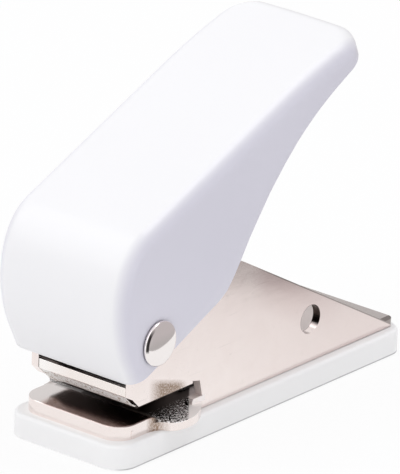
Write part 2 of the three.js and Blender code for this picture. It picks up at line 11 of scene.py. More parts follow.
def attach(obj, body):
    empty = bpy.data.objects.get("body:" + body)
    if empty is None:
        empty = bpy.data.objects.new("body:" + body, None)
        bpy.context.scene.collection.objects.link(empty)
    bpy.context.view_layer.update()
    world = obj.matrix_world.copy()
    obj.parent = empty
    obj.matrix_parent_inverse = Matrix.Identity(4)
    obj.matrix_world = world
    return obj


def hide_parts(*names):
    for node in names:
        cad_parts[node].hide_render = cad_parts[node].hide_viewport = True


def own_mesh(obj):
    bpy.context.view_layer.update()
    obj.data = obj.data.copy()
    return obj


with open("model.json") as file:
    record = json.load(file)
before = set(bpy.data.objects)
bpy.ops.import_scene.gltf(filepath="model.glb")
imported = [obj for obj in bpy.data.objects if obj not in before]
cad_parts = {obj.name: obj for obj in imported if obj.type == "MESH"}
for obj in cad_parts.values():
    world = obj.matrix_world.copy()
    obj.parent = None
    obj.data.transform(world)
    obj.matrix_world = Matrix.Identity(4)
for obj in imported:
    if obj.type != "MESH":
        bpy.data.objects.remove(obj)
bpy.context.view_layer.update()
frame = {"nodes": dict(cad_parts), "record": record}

# Sizes are in millimetres, and times MM in Blender's metres

MM = 0.001
PIVOT_Y, PIVOT_Z = -40.5, 28.8
LEVER_TURN = math.radians(22.5)


def add_object(name, data):
    made = bpy.data.objects.new(name, data)
    bpy.context.scene.collection.objects.link(made)
    return made


# Camera, placed where the photograph was taken from

CAMERA_AZIMUTH = math.radians(39.269)
CAMERA_ELEVATION = math.radians(21.626)
CAMERA_ROLL = math.radians(1.849)
CAMERA_ACROSS = -1.783 * MM
CAMERA_UP = 34.313 * MM
CAMERA_DISTANCE = 1897.218 * MM
CAMERA_LENS = 643.7
CAMERA_SENSOR = 36
CAMERA_NEAR, CAMERA_FAR = 50 * MM, 50000 * MM


def make_camera():
    back = Vector((
        math.sin(CAMERA_AZIMUTH) * math.cos(CAMERA_ELEVATION),
        -math.cos(CAMERA_AZIMUTH) * math.cos(CAMERA_ELEVATION),
        math.sin(CAMERA_ELEVATION),
    ))
    level = Vector((math.cos(CAMERA_AZIMUTH), math.sin(CAMERA_AZIMUTH), 0))
    upright = back.cross(level)
    right = level * math.cos(CAMERA_ROLL) + upright * math.sin(CAMERA_ROLL)
    up = upright * math.cos(CAMERA_ROLL) - level * math.sin(CAMERA_ROLL)
    data = bpy.data.cameras.new("camera")
    data.lens = CAMERA_LENS
    data.sensor_width = CAMERA_SENSOR
    data.clip_start = CAMERA_NEAR
    data.clip_end = CAMERA_FAR
    place = right * CAMERA_ACROSS + up * CAMERA_UP + back * CAMERA_DISTANCE
    turn = Matrix((right, up, back)).transposed().to_4x4()
    camera = add_object("camera", data)
    camera.matrix_world = Matrix.Translation(place) @ turn
    bpy.context.scene.camera = camera


# Shader maths: expressions on sockets add their own nodes

class Signal:
    """A node's output. Python's operators on it add Math nodes."""

    def __init__(self, graph, socket):
        self.graph = graph
        self.socket = socket

    def combine(self, operation, *values):
        return self.graph.node("Math", {"operation": operation}, dict(enumerate(values)))

    def maths(self, operation):
        return self.combine(operation, self)

    def larger(self, other):
        return self.combine("MAXIMUM", self, other)

    def smaller(self, other):
        return self.combine("MINIMUM", self, other)

    def __add__(self, other):
        return self.combine("ADD", self, other)

    def __sub__(self, other):
        return self.combine("SUBTRACT", self, other)

    def __rsub__(self, other):
        return self.combine("SUBTRACT", other, self)

    def __mul__(self, other):
        return self.combine("MULTIPLY", self, other)

    def __truediv__(self, other):
        return self.combine("DIVIDE", self, other)

    def __rtruediv__(self, other):
        return self.combine("DIVIDE", other, self)

    def __abs__(self):
        return self.combine("ABSOLUTE", self)

    __radd__ = __add__
    __rmul__ = __mul__


class Graph:
    """A node tree that is built by one method."""

    def __init__(self, tree):
        self.tree = tree
        tree.nodes.clear()

    def node(self, kind, settings=None, values=None, output=0):
        made = self.tree.nodes.new(kind if "Node" in kind else "ShaderNode" + kind)
        for name, setting in (settings or {}).items():
            setattr(made, name, setting)
        for name, value in (values or {}).items():
            if isinstance(value, Signal):
                self.tree.links.new(value.socket, made.inputs[name])
            else:
                made.inputs[name].default_value = value
        return Signal(self, made.outputs[output]) if made.outputs else None

    def seen_directly(self):
        """1 for what the camera, a mirror or glass sees, and 0 for the light that falls on the object."""
        camera = self.node("LightPath", output="Is Camera Ray")
        glossy = self.node("LightPath", output="Is Glossy Ray")
        through = self.node("LightPath", output="Is Transmission Ray")
        return self.node("Math", {"operation": "ADD", "use_clamp": True}, {0: camera, 1: glossy + through})


class Finish(Graph):
    """A material whose patterns and zones read object coordinates."""

    def __init__(self, name):
        self.material = bpy.data.materials.new(name)
        self.material.use_nodes = True
        super().__init__(self.material.node_tree)

    def places(self, scale=(1, 1, 1), turn=(0, 0, 0)):
        place = self.node("TexCoord", output="Object")
        return self.node("Mapping", {}, {"Vector": place, "Scale": scale, "Rotation": turn})

    def parts(self, place):
        split = self.node("SeparateXYZ", {}, {"Vector": place})
        return [Signal(self, output) for output in split.socket.node.outputs]

    def noise(self, place, scale, detail=3, roughness=0.5, distortion=0):
        return self.node("TexNoise", {}, {
            "Vector": place,
            "Scale": scale,
            "Detail": detail,
            "Roughness": roughness,
            "Distortion": distortion,
        })

    def between(self, signal, low, high, to_low=0, to_high=1):
        return self.node("MapRange", {"clamp": True}, {
            "Value": signal, "From Min": low, "From Max": high, "To Min": to_low, "To Max": to_high,
        })

    def specks(self, place, pattern, edge):
        """0 where a noise stays under its edge, and 1 where it passes it."""
        return self.between(self.noise(place, *pattern), *edge)

    def fade(self, signal, start, full):
        """0 at start and 1 at full, both in millimetres."""
        return self.between(signal, start * MM, full * MM)

    def within(self, spot, limits):
        """1 in a zone. Its limits along each coordinate are in millimetres: where it starts and is full,
        and then, if it ends, where it is still full and where it ends."""
        fades = []
        for name, places in limits.items():
            fades.append(self.fade(spot[name], *places[:2]))
            if len(places) == 4:
                fades.append(self.fade(spot[name], places[3], places[2]))
        return math.prod(fades[1:], start=fades[0])

    def blend(self, share, first, second):
        return self.node("Mix", {"data_type": "RGBA"}, {
            "Factor": share, 6: first, 7: second,
        }, output=2)

    def layered(self, colour, layers):
        """Lays each colour over those before it, by its share."""
        for share, tint in layers:
            colour = self.blend(share, colour, tint)
        return colour

    def bump(self, height, distance, strength=1, below=None):
        values = {"Height": height, "Distance": distance, "Strength": strength}
        if below is not None:
            values["Normal"] = below
        return self.node("Bump", {}, values)

    def principled(self, values):
        return self.close(self.node("BsdfPrincipled", {}, values))

    def close(self, shader):
        self.node("OutputMaterial", {}, {"Surface": shader})
        return self.material


def rgb(red, green, blue):
    return (red, green, blue, 1)


# Patterns: cells in a metre, detail, roughness and distortion, and the levels between which a speck shows

PAINT_TONE = (30, 2)
ORANGE_PEEL = (420, 2, 0.4)
DUST, DUST_EDGE = (2300, 1), (0.73, 0.78)
PLASTIC_TONE = (60, 3)
MOULD_GRAIN = (3200, 2, 0.6)
FLOW_MARKS = (260, 2)
PLATE_CLOUD = (50, 4, 0.55, 0.3)
PLATE_MOTTLE, MOTTLE_EDGE = (240, 4, 0.65), (0.3, 0.7)
ROLLING_MARKS = (1800, 3, 0.55)
PITS, PIT_EDGE = (1400, 3, 0.6), (0.66, 0.76)
HAIRLINES, HAIRLINE_EDGE = (2600, 1), (0.7, 0.78)
BRUSHING, BRUSH_EDGE = (520, 4, 0.7), (0.48, 0.72)
SPECKS, SPECK_EDGE = (2600, 2, 0.7), (0.66, 0.72)
SPECKLE_NOISE, GRAIN_EDGE, SPARKLE_EDGE = (2200, 2, 0.7), (0.56, 0.58), (0.6, 0.66)
SLOPE_SPECKLES, SLOPE_SPECKLE_EDGE = (1400, 3, 0.75), (0.4, 0.44)
TURNING_RINGS = (1500, 2, 0.5)

# How far a pattern is drawn out along each axis, as a scale, and how it is turned

ALONG_BASE = (1, 0.15, 1)
ALONG_SHEET = (1, 0.05, 1)
HAIRLINE_SCALE, HAIRLINE_TURN = (0.4, 0.03, 1), (0.5, 0, 0)
BRUSH_SCALE, BRUSH_TURN = (1, 0.35, 1), (0.5, 0, 0)

# Depth of each relief

PEEL_DEPTH = 0.006 * MM
GRAIN_DEPTH = 0.02 * MM
PLATE_DEPTH = 0.012 * MM
RING_DEPTH = 0.01 * MM


# White paint on the lever

TOP_PAINT = rgb(0.865, 0.865, 0.872), rgb(0.885, 0.885, 0.89)
# Painted shade: the flanges' paint is greyer and lavender, and darker still towards the rear
FLANGE_PAINTED_SHADE = rgb(0.673, 0.662, 0.735), rgb(0.693, 0.683, 0.755)
REAR_FLANGE_PAINTED_SHADE = rgb(0.637, 0.627, 0.697)
PAINT_DUST = rgb(0.6, 0.59, 0.58)
PAINT_ROUGH = (0.3, 0.38)
FLANGE_SHADE_WIDTH = (15.5, 18)
FLANGE_SHADE_REAR = (5, 45)


def white_paint():
    """Gloss paint on the lever: faint orange peel and dust, and painted shade that makes the flanges greyer
    and darker towards the rear.
    """
    finish = Finish("white_paint")
    place = finish.places()
    x, y, _ = finish.parts(place)
    tone = finish.noise(place, *PAINT_TONE)
    peel = finish.noise(place, *ORANGE_PEEL)
    dust = finish.specks(place, DUST, DUST_EDGE)
    # Painted shade on the flanges, darker towards the rear
    shaded_front_flange = finish.blend(tone, *FLANGE_PAINTED_SHADE)
    flange = finish.blend(finish.fade(y, *FLANGE_SHADE_REAR), shaded_front_flange, REAR_FLANGE_PAINTED_SHADE)
    colour = finish.layered(finish.blend(tone, *TOP_PAINT), [
        (finish.fade(abs(x), *FLANGE_SHADE_WIDTH), flange),
        (dust * 0.08, PAINT_DUST),
    ])
    return finish.principled({
        "Base Color": colour,
        "Roughness": finish.between(tone + peel * 0.3, 0.3, 0.9, *PAINT_ROUGH),
        "Coat Weight": 0.15,
        "Coat Roughness": 0.15,
        "Normal": finish.bump(peel, PEEL_DEPTH, 0.2),
    })


# White plastic of the base

BASE_WHITE = rgb(0.915, 0.915, 0.905), rgb(0.94, 0.94, 0.93)
# Painted light on the top ledge along the sides, a painted contact shadow along the foot, and painted shade
# on the hooks inside the frame
LEDGE_PAINTED_LIGHT = rgb(0.985, 0.98, 0.975)
FOOT_PAINTED_SHADOW = rgb(0.25, 0.25, 0.25)
HOOK_PAINTED_SHADE = rgb(0.06, 0.05, 0.045)
PLASTIC_ROUGH = (0.42, 0.56)
BASE_FOOT_SHADOW = {"z": (0.4, 0.22), "width": (14.5, 16.3)}
BASE_LIT_LEDGE = {"z": (5.1, 5.5), "y": (-45, -37)}
BASE_HOOKS_SHADE = {"z": (7, 7.4), "width": (12.5, 12)}


def white_plastic():
    """Fine moulded grain on the base and faint flow marks along it, with painted light on the side ledge, a
    painted contact shadow at the foot and painted shade on the hooks.
    """
    finish = Finish("white_plastic")
    place = finish.places()
    x, y, z = finish.parts(place)
    spot = {"width": abs(x), "y": y, "z": z}
    tone = finish.noise(place, *PLASTIC_TONE)
    grain = finish.noise(place, *MOULD_GRAIN)
    flow = finish.noise(finish.places(ALONG_BASE), *FLOW_MARKS)
    # Painted light, painted shadow and painted shade over the plastic's tone
    colour = finish.layered(finish.blend(tone, *BASE_WHITE), [
        (finish.within(spot, BASE_LIT_LEDGE), LEDGE_PAINTED_LIGHT),
        (finish.within(spot, BASE_FOOT_SHADOW) * 0.6, FOOT_PAINTED_SHADOW),
        (finish.within(spot, BASE_HOOKS_SHADE) * 0.95, HOOK_PAINTED_SHADE),
    ])
    return finish.principled({
        "Base Color": colour,
        "Roughness": finish.between(flow + grain * 0.4, 0.3, 1, *PLASTIC_ROUGH),
        "Normal": finish.bump(grain + flow * 0.5, GRAIN_DEPTH, 0.25),
    })


def metal_marks(finish, place, strength):
    """Cloudy plating, rolling marks along the sheet, pits and hairline scratches."""
    cloud = finish.noise(place, *PLATE_CLOUD)
    rolled = finish.noise(finish.places(ALONG_SHEET), *ROLLING_MARKS)
    pits = finish.specks(place, PITS, PIT_EDGE)
    scratch = finish.specks(finish.places(HAIRLINE_SCALE, HAIRLINE_TURN), HAIRLINES, HAIRLINE_EDGE)
    bump = finish.bump(rolled * 0.4 - pits * 0.8 - scratch * 0.5, PLATE_DEPTH, strength)
    return cloud, rolled, pits, scratch, bump


# Nickel plate on the frame

PLATE_CLEAN = rgb(0.87, 0.778, 0.748), rgb(0.93, 0.857, 0.828)
# Painted reflection: the cheeks darker and browner near the top and towards the rear
PLATE_PAINTED_REFLECTION = rgb(0.66, 0.55, 0.53)
WEAR_GREY = rgb(0.4, 0.34, 0.31)
# Painted shade, brown and speckled, on the bend above the throat and in the corner by the ear
BEND_PAINTED_SHADE = rgb(0.3, 0.21, 0.15)
# Painted shade inside the side hole's bore, in all but its lowest part
BORE_PAINTED_SHADE = rgb(0.1, 0.08, 0.07)
# Painted shade and dark reflection on the die top, lighter left of a line where it mirrors the far opening
DIE_DARK_SHADE, DIE_LIGHT_SHADE = rgb(0.27, 0.18, 0.16), rgb(0.42, 0.41, 0.41)
# Painted shadow on the ear's top within the lever's shadow, and painted light beyond it
EAR_PAINTED_SHADOW, EAR_PAINTED_LIGHT = rgb(0.04, 0.028, 0.024), rgb(1, 0.95, 0.92)
# Painted shade along the cheeks' sloping top edge
EDGE_PAINTED_SHADE = rgb(0.2, 0.18, 0.17)
# Matt sheared steel on the notch wall, lightened as painted light, and only beyond the lever's shadow
LIT_SHEARED_STEEL = rgb(0.8, 0.7, 0.66)
# Painted light on the floor seen through the notch, beyond the lever's shadow
FLOOR_PAINTED_LIGHT = rgb(0.95, 0.83, 0.79)
CHANNEL_SHADE, THROAT_SHADE = rgb(0.09, 0.072, 0.065), rgb(0.04, 0.028, 0.024)
# Painted shade on the floor between the cheeks at the rear
REAR_FLOOR_PAINTED_SHADE = rgb(0.42, 0.39, 0.37)
# Pale matt specks, only in the shaded part of the ear
PALE_SPECK = rgb(0.98, 0.94, 0.92)
PLATE_ROUGH = (0.14, 0.24)

# Zones of the frame: where each starts and is full and, if it ends, where it is still full and ends

BETWEEN_CHEEKS = (12.9, 12.7)
CHANNEL = {"width": BETWEEN_CHEEKS, "y": (-38.5, -36.5)}
CHANNEL_DARKENS, CHANNEL_SHARES = (14 * MM, -18 * MM), (0.4, 1)
THROAT = {"y": (-8, -12), "z": (14.5, 13.5)}
CUT_FACE = {
    "width": (12.4, 12.6, 14.52, 14.56),
    "y": (-23.6, -23.4, -19.1, -18.9),
    "z": (7.72, 7.8, 13.9, 14.1),
}
LIT_FLOOR_PATCH = {"width": BETWEEN_CHEEKS, "y": (-21.5, -21), "z": (9.2, 9)}
REAR_FLOOR = {"width": BETWEEN_CHEEKS, "y": (-5, 14), "z": (8.4, 8)}
REAR_FLOOR_GREYS, REAR_FLOOR_SHARES = (36 * MM, 45 * MM), (0.55, 0.85)
# Painted shade on the bend above the throat and in the corner where the die meets the ear
THROAT_BEND_SHADE = {"width": (14.1, 14.5), "y": (-38.4, -34.2, -28.2, -25), "z": (12.6, 13)}
BEND_SHADE_Y, BEND_SHADE_TOP = -34.6, (17.4, 15.9)
CORNER_PAINTED_SHADE = {"width": (12.8, 14.2), "y": (-39, -37.2, -36, -34), "z": (9.8, 9.3)}
# The die top in the throat, and the line that parts its deep and light painted shade
DIE_TOP = {"y": (-35.5, -36.8), "z": (8.85, 9.02, 9.2, 9.4)}
SHADE_LINE_Y, SHADE_LINE_LEAN, SHADE_LINE_EDGE = -50, 0.14, (-8.6, -6.8)
EAR_TOP = {"width": (12.5, 12.7), "y": (-37.2, -36.2, -19, -18.8), "z": (7.62, 7.68, 8.9, 9.1)}
PALE_SPECK_ZONE = {"width": (10, 11.2), "y": (-36.5, -34.5), "z": (7.4, 7.6, 8.8, 9.1)}
SPECKLE_MIDDLE, SPECKLE_GROWTH = 13.5, 16
# Painted shade along the cheeks' sloping top edge, towards the rear
RIM, RIM_FRONT = (-0.35, -0.15), (-4, 6)
# Where the painted reflection darkens the cheeks
SHEEN_EDGE, SHEEN_FRONT, SHEEN_REAR = (-9, -2), (-4.5, 1.5), (30, 10)
SHEEN_TILT, SHEEN_LOW, SHEEN_HIGH = 0.25, (4, 25), (30, 33.5)
SHEEN_TO_REAR, WEAR_LOW = (-20, 30), (22, 33)
HOLE_Y, HOLE_Z = 17.5, 16.2
HOLE_REACH, HOLE_SHADE = (3.493, 3.435), (-2.4, -1.4)

# The lever's shadow ends on a line upright to the camera, and the top of the painted shade on the bend runs
# on a line level to it

VIEW_X, VIEW_Y = math.cos(CAMERA_AZIMUTH), math.sin(CAMERA_AZIMUTH)
VIEW_FALL = math.tan(CAMERA_ELEVATION) * math.cos(CAMERA_AZIMUTH)
SHADOW_END = (-4.3, -4)

# The cheeks' sloping upper edge, from its rear foot

CHEEK_FOOT_Y, CHEEK_FOOT_Z = 44.8, 7.7
CHEEK_SLOPE = 0.569
CHEEK_COSINE = math.cos(math.atan(CHEEK_SLOPE))


def distance(first, second):
    """How far a point is from the line on which both coordinates are 0."""
    return (first * first + second * second).maths("SQRT")


def frame_zones(finish, x, y, z):
    """Shares of the frame's zones: the cut face, the pale specks, the wear, and where shade, shadow, light
    and reflections are painted.
    """
    spot = {"width": abs(x), "y": y, "z": z}
    beyond_shadow = finish.fade(x * VIEW_X + y * VIEW_Y, *SHADOW_END)
    cut = beyond_shadow * finish.within(spot, CUT_FACE)
    lit_patch = beyond_shadow * finish.within(spot, LIT_FLOOR_PATCH)
    # Painted shade in the channel between the cheeks, deepening towards the front
    channel = finish.within(spot, CHANNEL) * finish.between(y, *CHANNEL_DARKENS, *CHANNEL_SHARES)
    shaded_rear_floor = finish.within(spot, REAR_FLOOR) * finish.between(y, *REAR_FLOOR_GREYS, *REAR_FLOOR_SHARES)
    bend_shade_fade = finish.fade(z + (y - BEND_SHADE_Y * MM) * VIEW_FALL, *BEND_SHADE_TOP)
    throat_shade_share = bend_shade_fade * finish.within(spot, THROAT_BEND_SHADE)
    die = finish.within(spot, DIE_TOP)
    dark_side = finish.fade(x + (y - SHADE_LINE_Y * MM) * SHADE_LINE_LEAN, *SHADE_LINE_EDGE)
    ear = finish.within(spot, EAR_TOP)
    rise = (z - CHEEK_FOOT_Z * MM + (y - CHEEK_FOOT_Y * MM) * CHEEK_SLOPE) * CHEEK_COSINE
    from_hole_y, from_hole_z = y - HOLE_Y * MM, z - HOLE_Z * MM
    in_hole = finish.fade(distance(from_hole_y, from_hole_z), *HOLE_REACH)
    height = z + y * SHEEN_TILT
    near_edge = finish.fade(rise, *SHEEN_EDGE) * finish.fade(y, *SHEEN_FRONT) * finish.fade(y, *SHEEN_REAR)
    return {
        "cut": cut,
        "lit_patch": lit_patch,
        "channel": channel * (1 - cut) * (1 - lit_patch),
        "throat": finish.within(spot, THROAT),
        "shaded rear floor": shaded_rear_floor,
        "bend shade": throat_shade_share.larger(finish.within(spot, CORNER_PAINTED_SHADE)),
        "deeply shaded die": die * dark_side,
        "lightly shaded die": die * (1 - dark_side),
        "shadowed ear": ear * (1 - beyond_shadow),
        "lit ear": ear * beyond_shadow,
        "pale specks": finish.within(spot, PALE_SPECK_ZONE) * (1 - beyond_shadow),
        "rim": finish.fade(rise, *RIM) * finish.fade(y, *RIM_FRONT),
        "bore shade": in_hole * finish.fade(from_hole_z, *HOLE_SHADE),
        "painted reflection": (
            finish.fade(height, *SHEEN_LOW) * 0.3 + finish.fade(y, *SHEEN_TO_REAR) * 0.26
            + near_edge * 0.5 - finish.fade(height, *SHEEN_HIGH) * 0.18
        ),
        "wear": finish.fade(height, *WEAR_LOW),
    }


def nickel_frame():
    """Nickel plate on the pressed frame: clean outside, rougher and with painted shade in the throat and
    between the cheeks, and with painted light, shadow and reflections in places.
    """
    finish = Finish("nickel_plate")
    place = finish.places()
    x, y, z = finish.parts(place)
    zone = frame_zones(finish, x, y, z)
    cloud, rolled, pits, scratch, bump = metal_marks(finish, place, 0.25)
    mottle = finish.specks(place, PLATE_MOTTLE, MOTTLE_EDGE)
    brushed = finish.specks(finish.places(BRUSH_SCALE, BRUSH_TURN), BRUSHING, BRUSH_EDGE)
    specks = finish.noise(place, *SPECKS)
    speckle_noise = finish.noise(place, *SPECKLE_NOISE)
    pale_specks = finish.between(speckle_noise + (abs(x) - SPECKLE_MIDDLE * MM) * SPECKLE_GROWTH, *GRAIN_EDGE) * zone["pale specks"]
    sparkle = finish.between(speckle_noise, *SPARKLE_EDGE)
    # Painted shade in the channel, darkest in the throat
    shade = finish.blend(zone["throat"], CHANNEL_SHADE, THROAT_SHADE)
    # Layers of painted shade, shadow, light and reflection over the plate, with its wear and pale specks
    colour = finish.layered(finish.blend(cloud * 0.6 + mottle * 0.4, *PLATE_CLEAN), [
        (zone["painted reflection"], PLATE_PAINTED_REFLECTION),
        (pits * 0.3 + scratch * 0.12 + brushed * zone["wear"] * 0.22, WEAR_GREY),
        (zone["bend shade"] * finish.between(specks, 0.3, 0.7, 0.35, 1.3), BEND_PAINTED_SHADE),
        (zone["bore shade"], BORE_PAINTED_SHADE),
        (zone["deeply shaded die"] * (0.93 - sparkle * 0.4), DIE_DARK_SHADE),
        (zone["lightly shaded die"] * 0.52, DIE_LIGHT_SHADE),
        (zone["shadowed ear"] * 0.96, EAR_PAINTED_SHADOW),
        (zone["lit ear"], EAR_PAINTED_LIGHT),
        (zone["rim"] * 0.75, EDGE_PAINTED_SHADE),
        (zone["cut"], LIT_SHEARED_STEEL),
        (zone["lit_patch"], FLOOR_PAINTED_LIGHT),
        (zone["channel"] * (1 - zone["shaded rear floor"]), shade),
        (zone["shaded rear floor"], REAR_FLOOR_PAINTED_SHADE),
        (pale_specks, PALE_SPECK),
    ])
    matt = zone["cut"].larger(zone["lit_patch"]).larger(pale_specks * 0.8 + zone["lit ear"] * 0.85)
    plate = finish.between(cloud + rolled * 0.5, 0.45, 1.15, *PLATE_ROUGH)
    soiled = zone["channel"] * 0.2 + zone["bend shade"] * 0.15 + finish.between(specks, *SPECK_EDGE) * 0.1
    return finish.principled({
        "Base Color": colour,
        "Metallic": 1 - matt * 0.9,
        "Roughness": plate + soiled + matt * 0.3 + zone["lit ear"] * 0.2,
        "Normal": bump,
    })


# Nickel plate on the guide plate

LIP_CLEAN = rgb(0.87, 0.8, 0.765), rgb(0.93, 0.87, 0.83)
# Painted light on the lip's left end and on the speckled slope, and painted shade below and behind
LIP_PAINTED_LIGHT = rgb(0.98, 0.96, 0.94)
SLOPE_SPECKLED_LIGHT = rgb(0.45, 0.32, 0.23), rgb(1, 0.98, 0.945)
GUIDE_PAINTED_SHADE = rgb(0.05, 0.04, 0.036)
GUIDE_ROUGH = (0.2, 0.32)
LIP_LIGHT_LEFT = (-4, -11)
SLOPE_TOP, SLOPE_FOOT, SLOPE_UNDER = (15.1, 14.7), (11.3, 11.6), (11.45, 11.25)
SHADOW_LIFT, SHADOW_LEFT = 0.6, (-10.5, -7.5)
GUIDE_BEHIND = {"y": (-43.1, -42.7), "z": (15, 15.6)}


def nickel_guide():
    """Nickel plate on the guide plate: clean on its lip, with painted light at the lip's left end and on
    its speckled slope, and painted shade below and behind.
    """
    finish = Finish("nickel_guide")
    place = finish.places()
    x, y, z = finish.parts(place)
    cloud, rolled, _, _, bump = metal_marks(finish, place, 0.35)
    slope_speckles = finish.specks(place, SLOPE_SPECKLES, SLOPE_SPECKLE_EDGE)
    above_shadow = z - finish.fade(x, *SHADOW_LEFT) * (SHADOW_LIFT * MM)
    slope = finish.fade(z, *SLOPE_TOP) * finish.fade(above_shadow, *SLOPE_FOOT)
    behind = finish.within({"y": y, "z": z}, GUIDE_BEHIND)
    dull = finish.fade(above_shadow, *SLOPE_UNDER).larger(behind)
    plate = finish.between(cloud + rolled * 0.5, 0.45, 1.15, *GUIDE_ROUGH)
    # Painted light on the lip and slope, painted shade below and behind
    colour = finish.layered(finish.blend(cloud, *LIP_CLEAN), [
        (finish.fade(x, *LIP_LIGHT_LEFT) * 0.8, LIP_PAINTED_LIGHT),
        (slope, finish.blend(slope_speckles, *SLOPE_SPECKLED_LIGHT)),
        (dull, GUIDE_PAINTED_SHADE),
    ])
    return finish.principled({
        "Base Color": colour,
        "Metallic": 1 - slope * 0.95,
        "Roughness": plate + dull * 0.2 + slope * 0.25,
        "Normal": bump,
    })


# Polished steel of the pivot's two heads, with places measured from the pivot in millimetres

POLISH = rgb(0.86, 0.815, 0.8), rgb(0.91, 0.87, 0.855)
# Painted light on the dome's top; a dark colour for the scratches and for the painted shade at the foot and
# the crescent painted as a dark reflection
POLISH_TOP_LIGHT = rgb(0.99, 0.915, 0.91)
POLISH_SHADE_AND_SCRATCH = rgb(0.05, 0.045, 0.044)
POLISH_ROUGH = (0.06, 0.11)
HEAD_FOOT = (19.05, 18.9)
HEAD_TOP = (0.6, 2.8)
CRESCENT = {"radius": (4.5, 4.65, 5.06, 5.14), "front": (-3, -4.4), "z": (-1, -0.3)}
CRESCENT_LEAN = 0.15
DOME_TILT, DOME_TWIST = -0.07, 16


def polished_rivet():
    """Polished dome: nearly a mirror, with fine scratches, painted light on its top, painted shade at its
    foot and a painted dark reflection as a crescent at the front.
    """
    finish = Finish("polished_rivet")
    place = finish.places()
    x, y, z = finish.parts(place)
    out_y, out_z = y - PIVOT_Y * MM, z - PIVOT_Z * MM
    spot = {"radius": distance(out_y, out_z), "front": out_y - out_z * CRESCENT_LEAN, "z": out_z}
    cloud, _, _, scratch, bump = metal_marks(finish, place, 0.1)
    # Painted shade at the head's foot and a painted dark reflection as a crescent at the front
    dark = finish.within(spot, CRESCENT).larger(finish.fade(abs(x), *HEAD_FOOT) * 0.8)
    colour = finish.layered(finish.blend(cloud, *POLISH), [
        (finish.fade(out_z, *HEAD_TOP), POLISH_TOP_LIGHT),
        (dark + scratch * 0.06, POLISH_SHADE_AND_SCRATCH),
    ])
    return finish.principled({
        "Base Color": colour,
        "Metallic": 1.0,
        "Roughness": finish.between(cloud, 0.3, 0.7, *POLISH_ROUGH),
        "Normal": finish.bump(out_z * DOME_TILT + out_y * out_z * DOME_TWIST, 1, 1, bump),
    })


# Bare steel of the pieces inside

STEEL_WORN = rgb(0.22, 0.2, 0.18)
PLAIN_STEELS = {
    "turned_steel": {
        "tones": (rgb(0.56, 0.55, 0.53), rgb(0.64, 0.63, 0.61)),
        "rough": (0.2, 0.34),
        "drawn_out": (0.05, 0.05, 1),
    },
    "spring_steel": {
        "tones": (rgb(0.42, 0.42, 0.42), rgb(0.5, 0.5, 0.5)),
        "rough": (0.25, 0.4),
        "drawn_out": (1, 1, 0.1),
    },
}


def plain_steel(name, tones, rough, drawn_out):
    """Bare steel, turned or drawn, with a film of oil."""
    finish = Finish(name)
    place = finish.places()
    cloud, _, pits, scratch, bump = metal_marks(finish, place, 0.3)
    rings = finish.noise(finish.places(drawn_out), *TURNING_RINGS)
    return finish.principled({
        "Base Color": finish.blend(pits * 0.3 + scratch * 0.2, finish.blend(cloud, *tones), STEEL_WORN),
        "Metallic": 1.0,
        "Roughness": finish.between(cloud + rings * 0.6, 0.5, 1.3, *rough),
        "Normal": finish.bump(rings, RING_DEPTH, 0.4, bump),
    })


def make_finishes():
    finishes = {
        "white_paint": white_paint(),
        "white_plastic": white_plastic(),
        "nickel_plate": nickel_frame(),
        "nickel_guide": nickel_guide(),
        "polished_rivet": polished_rivet(),
    }
    for name, looks in PLAIN_STEELS.items():
        finishes[name] = plain_steel(name, **looks)
    return finishes


# Floor, light and the grey card that the metal mirrors, in metres

PURE_WHITE = rgb(1, 1, 1)
FLOOR_HALF = 6
FLOOR_DROP = 0.2 * MM
FLOOR_WHITE = rgb(0.9, 0.9, 0.9)
FLOOR_GLOW = 0.9
CARD_GREY = rgb(0.5, 0.48, 0.48)
CARD_TURN = math.radians(51)
CARD_REACH, CARD_LEAN = 0.082, 0.05
CARD_HALF, CARD_HEIGHT = 0.5, 0.4
STUDIO_WHITE = rgb(0.97, 0.965, 1)
STUDIO_POWER = 0.665
LAMPS = {
    "key": {"place": (-0.6, -0.95, 1.2), "aim": (0, 0, 0.03), "size": 2, "power": 10.1},
    "low_front": {"place": (-0.1, -0.8, 0.05), "aim": (0, -0.04, 0.02), "size": 0.3, "power": 0.15},
    "low_right": {"place": (0.7, -0.1, 0.06), "aim": (0.02, 0, 0), "size": 0.3, "power": 0.6},
    "high_right": {"place": (0.25, 0.45, 1.4), "aim": (0, 0, 0.02), "size": 0.8, "power": 5},
}


def flat_sheet(name, corners, material):
    mesh = bpy.data.meshes.new(name)
    mesh.from_pydata(corners, [], [(0, 1, 2, 3)])
    mesh.materials.append(material)
    return add_object(name, mesh)


def floor_white():
    """White to the camera and in the metal, and lit and shaded as a floor for the rest."""
    finish = Finish("floor_white")
    lit = finish.node("BsdfDiffuse", {}, {"Color": FLOOR_WHITE})
    glow = finish.node("Emission", {}, {"Color": PURE_WHITE, "Strength": 1.0})
    mixed = finish.node("MixShader", {}, {0: finish.seen_directly() * FLOOR_GLOW, 1: lit, 2: glow})
    return finish.close(mixed)


def make_floor():
    half = FLOOR_HALF
    corners = [(-half, -half, 0), (half, -half, 0), (half, half, 0), (-half, half, 0)]
    floor = flat_sheet("floor", corners, floor_white())
    floor.location.z = -FLOOR_DROP


def card_grey():
    finish = Finish("card_grey")
    return finish.close(finish.node("Emission", {}, {"Color": CARD_GREY, "Strength": 1.0}))


def make_card():
    """A grey card behind the right side, seen only in the metal, as a photographer sets one."""
    out = Vector((math.cos(CARD_TURN), math.sin(CARD_TURN), 0))
    half = Vector((-out.y, out.x, 0)) * CARD_HALF
    low = out * CARD_REACH
    high = out * (CARD_REACH + CARD_LEAN) + Vector((0, 0, CARD_HEIGHT))
    card = flat_sheet("card", [low - half, low + half, high + half, high - half], card_grey())
    card.visible_camera = False
    card.visible_diffuse = False
    card.visible_transmission = False
    card.visible_shadow = False


